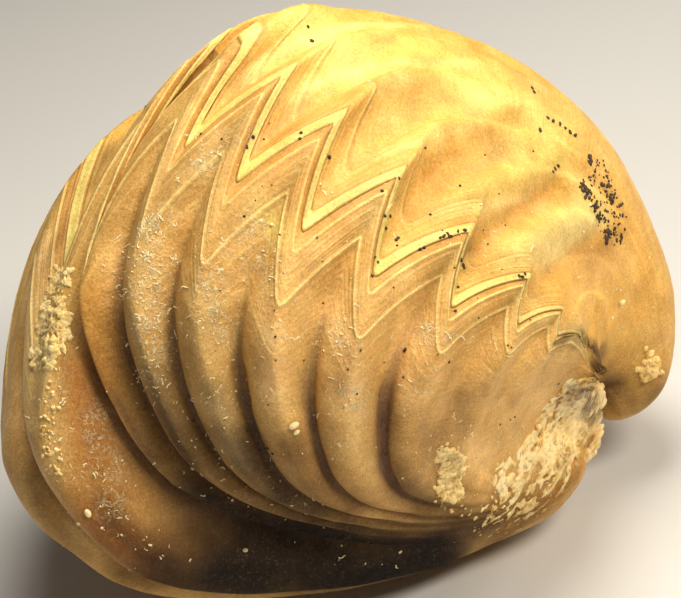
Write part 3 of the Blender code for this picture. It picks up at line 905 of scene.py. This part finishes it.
def strewn(count, seed, turned=0.05):
    """Places and outward normals spread evenly over the sides of the shell that face away from the camera, world mm."""
    rng = np.random.default_rng(seed)
    w = np.concatenate([g["w"].reshape(-1, 3) for g in grids])
    n = np.concatenate([(g["n"] @ SHELL_R.T).reshape(-1, 3) for g in grids])
    area = np.concatenate([np.linalg.norm(np.cross(np.gradient(g["w"], axis=0), np.gradient(g["w"], axis=1)), axis=-1).ravel() for g in grids])
    area = np.where((n @ CAM_AXES[2] < turned) & (w[:, 2] > 0.4), area, 0.0)
    picked = rng.choice(len(w), count, p=area / area.sum())
    return [(w[k], n[k]) for k in picked]


def at_depth(px, py, depth):
    """World mm, that far from the camera along its axis."""
    start, way = ray(px, py)
    return np.array(start + way * (depth / way.dot(Vector(-CAM_AXES[2]))))


def mesh_of_lumps(lumps, extra=(), detail=2, along=None, longer=(0.65, 1.5)):
    """Overlapping flattened lumps in one mesh, metres."""
    bm = bmesh.new()
    for at, normal, radius, height in lumps:
        turn = Vector(normal).to_track_quat("Z", "Y").to_matrix()
        if along is None:
            angle, stretch = RNG.uniform(0, 6.28), RNG.uniform(*longer)
        else:
            flat = turn.inverted() @ Vector(CAM_AXES[0] * along[0] - CAM_AXES[1] * along[1])
            angle, stretch = math.atan2(flat.y, flat.x) + RNG.normal(0, 0.22), RNG.uniform(1.1, 2.0)
        spin = Euler((0, 0, angle)).to_matrix()
        made = bmesh.ops.create_icosphere(bm, subdivisions=detail, radius=1.0)["verts"]
        for v in made:
            q = spin @ Vector((v.co.x * radius * stretch, v.co.y * radius / stretch, v.co.z * height))
            v.co = (turn @ q + Vector(at)) * MM
    for mesh in extra:
        bm.from_mesh(mesh)
    mesh = bpy.data.meshes.new("lumps")
    bm.to_mesh(mesh)
    bm.free()
    return mesh


def fused(mesh, voxel, even=0):
    """The outer skin of overlapping lumps as one closed mesh, evened out a number of times."""
    obj = bpy.data.objects.new("fusing", mesh)
    bpy.context.scene.collection.objects.link(obj)
    m = obj.modifiers.new("fuse", "REMESH")
    m.mode = "VOXEL"
    m.voxel_size = voxel * MM
    m.adaptivity = 0.0
    if even:
        m = obj.modifiers.new("even", "SMOOTH")
        m.factor = 0.5
        m.iterations = even
    bpy.context.view_layer.update()
    made = bpy.data.meshes.new_from_object(obj.evaluated_get(bpy.context.evaluated_depsgraph_get()))
    bpy.data.objects.remove(obj)
    return made


def granular(mesh, name, rough, colours, size, seed, streak=None, washes=()):
    """Pushes the skin in and out like cemented grains, and colours it: dark in the pits as painted shade, pale on the
    grains.
    streak: a direction and how many times longer than wide the grains are along it. washes: colour, half-width mm,
    amount, places."""
    n = len(mesh.vertices)
    co, no = np.zeros(n * 3, np.float32), np.zeros(n * 3, np.float32)
    mesh.vertices.foreach_get("co", co)
    mesh.vertices.foreach_get("normal", no)
    p, no = co.reshape(-1, 3).astype(float) / MM, no.reshape(-1, 3)
    q = p
    if streak is not None:
        way, longer = streak
        q = p - way * ((p @ way) * (1 - 1 / longer))[:, None]
    grains = 1 - 2.2 * np.abs(fractal(q, size, seed, 3))
    broad = fractal(q, size * 3.5, seed + 5, 3)
    before = p
    height = rough * (grains + 0.9 * broad)
    p = p + no * height[:, None]
    mesh.vertices.foreach_set("co", (p * MM).astype(np.float32).ravel())
    # painted shade: the colour runs from the pit colour in the low places to pale on the raised grains
    k = np.clip(0.56 + 0.55 * grains + 0.8 * broad, 0, 1)[:, None]
    low, mid, high = (np.array(COLOURS[c]) for c in colours)
    tint = np.where(k < 0.5, low + (mid - low) * k * 2, mid + (high - mid) * (k * 2 - 1))
    for colour, width, amount, points in washes:
        ragged = np.clip(amount * closeness(before, points, width) * (0.75 + 0.9 * fractal(q, size * 2.2, seed + 9, 3)), 0, 1)[:, None]
        tint = tint * (1 - ragged) + np.array(COLOURS[colour]) * (0.46 + 0.54 * k) * ragged
    tint = np.clip(tint, 0, 1)
    tint = np.concatenate([tint, np.ones((n, 1))], 1)
    mesh.attributes.new("tint", "FLOAT_COLOR", "POINT").data.foreach_set("color", tint.astype(np.float32).ravel())
    mesh.attributes.new("fibre", "FLOAT_VECTOR", "POINT").data.foreach_set("vector", (q * MM).astype(np.float32).ravel())
    mesh.update()
    mesh.name = name
    mesh.shade_smooth()
    return mesh


def crust_material():
    m = Nodes("pale_matrix")
    where = m.node("Attribute", out=1, settings={"attribute_name": "fibre"})
    tint = m.node("Attribute", settings={"attribute_name": "tint"})
    grain = m.noise(where, 6500.0, 4.0, 0.7)
    # painted shade: darker where the grain, and with it the bump, is low
    colour = m.mix(tint, (0.22, 0.12, 0.04), m.ramp(grain, 0.47, 0.36, 0.0, 0.50))
    colour = m.mix(colour, (1.0, 0.84, 0.50), m.ramp(grain, 0.53, 0.66, 0.0, 0.70))
    m.put(colour, m.shader.inputs["Base Color"])
    m.put(m.ramp(grain, 0.3, 0.7, 0.9, 0.65), m.shader.inputs["Roughness"])
    m.put(m.bump(grain, 0.9, 0.00009), m.shader.inputs["Normal"])
    m.shader.inputs["Subsurface Weight"].default_value = 0.12
    m.shader.inputs["Subsurface Radius"].default_value = (1.0, 0.6, 0.3)
    m.shader.inputs["Subsurface Scale"].default_value = 0.0003
    return m.material


def speck_material():
    m = Nodes("dark_specks")
    where = m.node("TexCoord", out=3)
    grain = m.noise(where, 9000.0, 3.0, 0.6)
    m.put(m.mix((0.016, 0.009, 0.005), (0.10, 0.05, 0.018), m.ramp(grain, 0.4, 0.65)), m.shader.inputs["Base Color"])
    m.put(m.ramp(grain, 0.3, 0.7, 0.55, 0.85), m.shader.inputs["Roughness"])
    return m.material


def place(mesh, name, material, slot=None):
    obj = bpy.data.objects.new(name, mesh)
    bpy.context.scene.collection.objects.link(obj)
    mesh.materials.clear()
    mesh.materials.append(material)
    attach(obj, "root")
    print(name, len(mesh.polygons), "faces")
    return obj


COLOURS.update({"cream": (1.0, 0.82, 0.44), "buff": (0.78, 0.52, 0.20), "ochre": (0.62, 0.38, 0.10), "pit": (0.16, 0.085, 0.03),
                "gold": (0.92, 0.58, 0.16)})
CRUST = crust_material()

# The patch on the brachial umbo, thickest at its right-hand edge, with the filling of the wedge under the beak
DOWN_LEFT = -0.62 * CAM_AXES[0] - 0.78 * CAM_AXES[1]
UMBO_PATCH = [(566, 380), (586, 378), (594, 400), (592, 420), (588, 440), (576, 458), (558, 468), (540, 466), (522, 466), (518, 452),
              (532, 432), (545, 408), (557, 391)]
THIN_PATCH = [(522, 462), (576, 454), (582, 462), (562, 490), (534, 514), (500, 526), (484, 520), (500, 500)]
WEDGE = ((390, 578, 592, 99.3, 101.9), (399, 572, 594, 99.9, 102.2), (408, 568, 595, 100.5, 102.4), (417, 566, 594, 100.9, 102.4),
         (426, 569, 590, 101.1, 102.3), (435, 572, 585, 101.4, 102.1), (443, 573, 579, 101.6, 102.0), (450, 570, 573, 101.7, 101.9))
lumps = []
for x, y in scattered(UMBO_PATCH, 240):
    edge = min(1.0, min(math.hypot(x - a, y - b) for a, b in UMBO_PATCH) / 16)
    lumps += lump_at(x, y, RNG.uniform(0.10, 0.30), RNG.uniform(0.04, 0.12) * (0.4 + 0.6 * edge), lift=0.0)
for x, y in scattered(UMBO_PATCH, 150):  # ridges of the fibrous crust
    lumps += lump_at(x, y, RNG.uniform(0.06, 0.12), RNG.uniform(0.07, 0.13), lift=RNG.uniform(0.02, 0.09))
for y, left, right, near, far in WEDGE:
    steps = max(2, int((right - left) / 5) + 1)
    for k in range(steps):
        t = k / (steps - 1)
        r = RNG.uniform(0.38, 0.46)
        lumps.append((at_depth(left + (right - left) * t, y + RNG.uniform(-1.5, 1.5), near + (far - near) * t), CAM_AXES[2], r / 1.2, r))
for x, y, depth, r in ((597, 430, 102.5, 0.24), (598, 437, 102.6, 0.22), (592, 454, 102.4, 0.20), (588, 459, 102.3, 0.20), (591, 450, 102.1, 0.26), (586, 455, 102.0, 0.28), (580, 459, 101.9, 0.26), (594, 441, 102.0, 0.24), (590, 390, 102.4, 0.40), (595, 391, 102.8, 0.38), (598, 398, 103.0, 0.36), (600, 404, 103.1, 0.30)):
    lumps.append((at_depth(x, y, depth), CAM_AXES[2], r / 1.2, r))
for k in range(70):  # grains standing on the thick edge
    t = RNG.uniform(0, 1)
    lumps += lump_at(583 - 40 * t * t, 402 + 74 * t, RNG.uniform(0.05, 0.11), RNG.uniform(0.05, 0.10), lift=RNG.uniform(0.03, 0.16),
                     shift=(RNG.uniform(0, 8) * (1 - 0.6 * t), RNG.uniform(-2, 4)))
for x, y in scattered(THIN_PATCH, 130):
    lumps += lump_at(x, y, RNG.uniform(0.08, 0.22), RNG.uniform(0.015, 0.040), lift=-0.005)
for x, y in scattered([(495, 462), (512, 458), (522, 474), (518, 494), (502, 500), (494, 486)], 60):
    lumps += lump_at(x, y, RNG.uniform(0.05, 0.15), RNG.uniform(0.05, 0.10), lift=0.01)
for x, y in scattered([(470, 506), (520, 500), (556, 486), (548, 510), (510, 536), (470, 540)], 70):
    lumps += lump_at(x, y, RNG.uniform(0.04, 0.10), RNG.uniform(0.02, 0.04), lift=0.0)
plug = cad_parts["matrix_plug"].data.copy()
skin = fused(mesh_of_lumps(lumps, extra=(plug,), along=(-0.62, 0.78)), 0.042, even=5)
COLOURS.update({"chalk": (0.72, 0.59, 0.40), "stone": (0.29, 0.205, 0.095), "honeyed": (0.60, 0.36, 0.09), "butter": (1.0, 0.74, 0.32)})
WASHES = (
    ("chalk", 0.55, 1.1, np.array([at_depth(x, y, d) for x, y, d in ((572, 386, 98.6), (580, 392, 99.2), (574, 404, 99.3), (584, 404, 99.8),
                                                                      (566, 412, 99.2), (590, 412, 101.0), (582, 420, 100.2))])),
    # painted shade: stone where the crust meets the underside of the beak
    ("stone", 0.50, 1.6, np.array([at_depth(x, y, d) for x, y, d in ((588, 384, 99.2), (590, 390, 100.2), (590, 398, 100.8), (594, 402, 101.4),
                                                                      (598, 408, 102.2), (592, 412, 101.2), (594, 420, 101.6))])),
    ("butter", 0.60, 1.4, stroke((566, 430), (562, 446), (556, 464))),
    ("butter", 0.30, 0.9, stroke((540, 412), (530, 434), (524, 446))),
    ("honeyed", 0.60, 1.5, np.concatenate([stroke((577, 468), (562, 490), (530, 512), (500, 526)),
                                           np.array([at_depth(586, 448, 101.6), at_depth(592, 440, 101.8)])])),
    ("honeyed", 0.40, 0.8, stroke((534, 462), (526, 486))),
    ("gold", 0.40, 1.0, np.array([at_depth(x, y, d) for x, y, d in ((600, 436, 102.2), (594, 446, 101.8), (586, 452, 101.4), (580, 458, 101.4))])),
    ("honeyed", 0.60, 1.5, stroke((470, 524), (500, 530), (530, 520), (556, 500))),
    ("butter", 0.28, 0.9, stroke((508, 468), (508, 488))),
)
crust = place(granular(skin, "crust_on_umbo", 0.024, ("pit", "gold", "cream"), 0.13, 7, (DOWN_LEFT, 3.6), WASHES), "crust_on_umbo", CRUST,
              "pale_matrix")
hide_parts("matrix_plug")

# Loose clumps cemented elsewhere on the shell
lumps = []
for k in range(64):  # the ring-shaped wart, open on its left
    t = RNG.uniform(-2.5, 2.5)
    out = RNG.normal(1.0, 0.10)
    lumps += lump_at(449 + 12 * out * math.cos(t), 463 + 13 * out * math.sin(t), RNG.uniform(0.06, 0.13), RNG.uniform(0.06, 0.14), lift=0.02)
for x, y in scattered([(438, 478), (458, 476), (464, 490), (458, 500), (444, 500), (436, 490)], 46):  # its bright foot
    lumps += lump_at(x, y, RNG.uniform(0.07, 0.17), RNG.uniform(0.06, 0.15), lift=0.02)
for x, y in scattered([(440, 454), (458, 454), (458, 472), (442, 472)], 16):
    lumps += lump_at(x, y, RNG.uniform(0.06, 0.12), 0.04, lift=0.0)
for k in range(30):  # bump on the beak
    x, y = 651 + RNG.normal(0, 5.0), 368 + RNG.normal(0, 6.0)
    lumps += lump_at(x, y, RNG.uniform(0.08, 0.20), RNG.uniform(0.08, 0.18), lift=0.03)
for x, y, r in ((650, 370, 0.36), (655, 363, 0.28), (645, 376, 0.26), (649, 361, 0.22)):
    lumps += lump_at(x, y, r, 0.24, lift=0.03)
for x, y in scattered([(440, 450), (456, 449), (464, 458), (463, 472), (458, 484), (462, 496), (446, 500), (438, 488), (440, 474), (436, 462)], 44):
    lumps += lump_at(x, y, RNG.uniform(0.14, 0.22), RNG.uniform(0.05, 0.09), lift=-0.01)
warts = fused(mesh_of_lumps(lumps), 0.035, even=1)
place(granular(warts, "wart_and_beak_bump", 0.022, ("brown", "gold", "butter"), 0.12, 19,
               washes=(("butter", 0.50, 0.8, stroke((440, 455), (449, 450), (460, 456), (461, 468))),
                       ("butter", 0.34, 0.9, stroke((446, 484), (452, 492))), ("ochre", 0.17, 1.3, stroke((449, 460), (452, 466))),
                       ("ochre", 0.22, 0.9, stroke((643, 380), (650, 380))))), "wart_and_beak_bump", CRUST, "pale_matrix")

LEFT_CRUST = [(58, 262), (72, 268), (68, 300), (70, 330), (62, 356), (46, 372), (30, 366), (34, 330), (46, 296)]
LEFT_DUST = [(44, 360), (58, 360), (60, 420), (66, 470), (56, 490), (44, 470), (38, 420)]
lumps = []
for x, y in scattered(LEFT_CRUST, 150):
    lumps += lump_at(x, y, RNG.uniform(0.08, 0.20), RNG.uniform(0.02, 0.05), lift=-0.01)
for x, y in scattered([(50, 270), (66, 272), (66, 300), (58, 350), (44, 366), (32, 362), (36, 330), (46, 300)], 110):
    r = RNG.uniform(0.06, 0.19)
    lumps += lump_at(x, y, r, r * RNG.uniform(0.3, 0.7), lift=0.005)
for x, y in scattered(LEFT_DUST, 60):
    r = RNG.uniform(0.03, 0.09)
    lumps += lump_at(x, y, r, r * 0.7, lift=0.01)
for x, y in scattered([(430, 430), (480, 440), (500, 500), (470, 520), (430, 515)], 46):
    r = RNG.uniform(0.03, 0.08)
    lumps += lump_at(x, y, r, r * 0.7, lift=0.01)
left = fused(mesh_of_lumps(lumps), 0.035, even=1)
place(granular(left, "crust_on_front", 0.018, ("brown", "gold", "butter"), 0.12, 43,
               washes=(("butter", 0.40, 0.9, stroke((58, 276), (50, 310), (42, 340))), ("gold", 0.16, 1.2, stroke((52, 276), (54, 284))),
                       ("gold", 0.18, 1.2, stroke((36, 330), (42, 344))))), "crust_on_front", CRUST, "pale_matrix")

PELLETS = ((621, 302, 0.13), (676, 325, 0.08), (612, 318, 0.06), (88, 513, 0.14), (79, 523, 0.09), (293, 425, 0.16), (245, 550, 0.09),
           (400, 552, 0.06), (620, 290, 0.05), (345, 405, 0.06), (350, 400, 0.05), (296, 432, 0.10), (272, 225, 0.06), (232, 500, 0.05),
           (102, 528, 0.05), (150, 545, 0.06), (60, 440, 0.06), (190, 560, 0.05), (583, 232, 0.06), (590, 205, 0.05))
lumps = []
for x, y, r in PELLETS:
    lumps += lump_at(x, y, r, r * 0.8, lift=r * 0.35)
for k in range(70):
    x, y = RNG.uniform(95, 560), RNG.uniform(180, 560)
    r = RNG.uniform(0.018, 0.045)
    lumps += lump_at(x, y, r, r * 0.8, lift=r * 0.3)
for at, normal in strewn(60, 5):
    r = RNG.uniform(0.02, 0.07)
    lumps.append((at + normal * r * 0.3, normal, r, r * 0.8))
place(granular(mesh_of_lumps(lumps), "pellets", 0.006, ("buff", "cream", "cream"), 0.10, 61), "pellets", CRUST, "pale_matrix")

lumps = []
for x0, y0, x1, y1, spread, count in (
    (150, 215, 148, 350, 13, 300), (206, 235, 214, 400, 15, 200), (146, 350, 152, 400, 8, 90), (128, 250, 120, 300, 9, 60), (262, 240, 282, 420, 14, 90), (335, 300, 352, 460, 13, 90),
    (215, 130, 190, 170, 16, 50), (410, 300, 420, 420, 15, 50), (80, 430, 140, 560, 22, 110), (60, 270, 52, 480, 10, 80),
    (440, 335, 520, 345, 12, 50), (470, 420, 540, 440, 22, 60), (445, 455, 452, 500, 16, 50), (300, 330, 340, 350, 12, 40),
    (250, 460, 300, 520, 18, 30), (600, 250, 660, 330, 24, 30), (160, 400, 230, 500, 20, 60), (350, 200, 520, 260, 24, 60),
    (300, 560, 400, 560, 18, 16)
):
    for k in range(count // 2):
        t = RNG.uniform(0, 1)
        x, y = x0 + (x1 - x0) * t + RNG.normal(0, spread), y0 + (y1 - y0) * t + RNG.normal(0, spread * 0.6)
        heading, r = RNG.uniform(0, 2 * math.pi), 0.014 + 0.024 * RNG.uniform(0, 1) ** 2
        for j in range(RNG.integers(1, 8)):
            lumps += lump_at(x, y, r * RNG.uniform(0.8, 1.2), r * 0.6, lift=r * 0.2)
            x, y = x + math.cos(heading) * r * 36, y + math.sin(heading) * r * 36
            heading += RNG.normal(0, 0.75)
for at, normal in strewn(900, 6):
    r = 0.012 + 0.024 * RNG.uniform(0, 1) ** 2
    lumps.append((at + normal * r * 0.2, normal, r, r * 0.6))
place(granular(mesh_of_lumps(lumps, detail=1, longer=(0.8, 1.5)), "pale_flakes", 0.003, ("buff", "cream", "cream"), 0.05, 67), "pale_flakes", CRUST, "pale_matrix")

# Black mineral specks
SPECKS = [(532, 88), (534, 92), (540, 130), (308, 27), (312, 41), (201, 134), (247, 147), (253, 137), (300, 139), (329, 157), (399, 178), (382, 191),
          (390, 216), (385, 228), (375, 257), (372, 276), (396, 240), (444, 236), (450, 236), (465, 230), (424, 248), (463, 265), (455, 311), (522, 277),
          (405, 350), (440, 238), (448, 234), (420, 250), (464, 268), (461, 260), (458, 231), (555, 169), (553, 172), (558, 166), (425, 148), (385, 216),
          (386, 228), (548, 118), (553, 121), (560, 124), (565, 128), (570, 132), (575, 135), (301, 133), (398, 238), (378, 262), (519, 276), (525, 274)]
SPECK_FIELD = [(584, 156), (604, 158), (614, 182), (628, 214), (624, 246), (602, 244), (592, 214), (582, 196), (578, 172)]
SPECK_KNOTS = ((583, 188), (588, 195), (597, 206), (599, 216), (607, 186), (610, 198), (606, 238), (609, 232), (620, 240), (590, 160))
lumps = []
for x, y in SPECKS:
    lumps += lump_at(x, y, RNG.uniform(0.035, 0.075), 0.030, lift=0.008)
for x, y in scattered(SPECK_FIELD, 110):
    lumps += lump_at(x, y, RNG.uniform(0.016, 0.046), 0.022, lift=0.004)
for x, y in SPECK_KNOTS:
    for k in range(9):
        lumps += lump_at(x + RNG.normal(0, 2.2), y + RNG.normal(0, 2.8), RNG.uniform(0.03, 0.085), 0.035, lift=0.008)
for k in range(60):  # sparse ones along the seam and over the ribs
    lumps += lump_at(RNG.uniform(180, 560), RNG.uniform(120, 460), RNG.uniform(0.012, 0.03), 0.02, lift=0.004)
for at, normal in strewn(14, 7):  # loose clusters on the far sides, as on the near one
    for k in range(RNG.integers(3, 12)):
        found = TREE.find_nearest(Vector(at + RNG.normal(0, 0.28, 3)))
        r = RNG.uniform(0.018, 0.055)
        out = np.array(found[1]) * (1 if float(np.array(found[1]) @ normal) > 0 else -1)
        lumps.append((np.array(found[0]) + out * 0.006, out, r, 0.025))
place(granular(mesh_of_lumps(lumps), "specks", 0.026, ("shade_and_speck_black", "shade_and_speck_black", "umber"), 0.055, 77), "specks", speck_material())

# ---- floor, light ---------------------------------------------------------
floor_mesh = bpy.data.meshes.new("floor")
floor_mesh.from_pydata([(-3, -3, 0), (3, -3, 0), (3, 3, 0), (-3, 3, 0)], [], [(0, 1, 2, 3)])
floor = bpy.data.objects.new("floor", floor_mesh)
bpy.context.scene.collection.objects.link(floor)
fm = bpy.data.materials.new("floor")
fm.use_nodes = True
fm.node_tree.nodes["Principled BSDF"].inputs["Base Color"].default_value = (0.62, 0.62, 0.62, 1)
fm.node_tree.nodes["Principled BSDF"].inputs["Roughness"].default_value = 0.9
floor_mesh.materials.append(fm)

world = bpy.data.worlds.new("world")
world.use_nodes = True
world.node_tree.nodes["Background"].inputs["Color"].default_value = (1, 1, 1, 1)
world.node_tree.nodes["Background"].inputs["Strength"].default_value = 0.09
bpy.context.scene.world = world


def area_light(name, at, look, size, watts, colour):
    data = bpy.data.lights.new(name, "AREA")
    data.shape = "DISK"
    data.size = size
    data.energy = watts
    data.color = colour
    obj = bpy.data.objects.new(name, data)
    bpy.context.scene.collection.objects.link(obj)
    obj.location = at
    obj.rotation_euler = (Vector(look) - Vector(at)).to_track_quat("-Z", "Y").to_euler()
    return obj


area_light("key", (0.006, 0.003, 0.088), (0, 0, 0.011), 0.040, 0.068, (1.0, 0.93, 0.80))
area_light("right_front", (0.078, -0.068, 0.125), (0, 0, 0.011), 0.055, 0.182, (1.0, 0.90, 0.74))
area_light("right_back", (0.128, 0.080, 0.064), (0, 0, 0.011), 0.060, 0.085, (1.0, 0.90, 0.74))

bpy.context.scene.view_settings.view_transform = "Standard"
